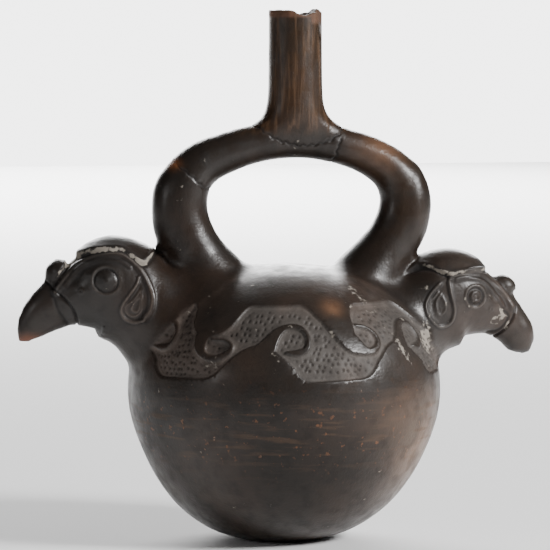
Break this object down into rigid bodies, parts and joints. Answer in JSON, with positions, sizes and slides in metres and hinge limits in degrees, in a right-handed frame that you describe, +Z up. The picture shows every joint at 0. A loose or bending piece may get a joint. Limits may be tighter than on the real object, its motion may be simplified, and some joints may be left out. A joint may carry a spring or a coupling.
{
  "type": "stirrup spout vessel",
  "caption": "Hollow burnished clay vessel: round body, a bird's head on each side, sunk wave carving on the shoulder, and a stirrup handle with a broken spout.",
  "frame": {"origin": "centre of the flat base, on the body's axis", "axes": "+Z up along the body's axis; the stirrup and both bird heads lie in the XZ plane, the larger head towards -X; the carved front faces -Y"},
  "size_m": [0.2292, 0.136, 0.2298],
  "materials": {
    "blackware": "burnished smoke-fired clay, dark grey to warm brown, worn and with pale mineral deposit in the hollows"
  },
  "bodies": {
    "root": {"vessel": "blackware"}
  },
  "joints": []
}
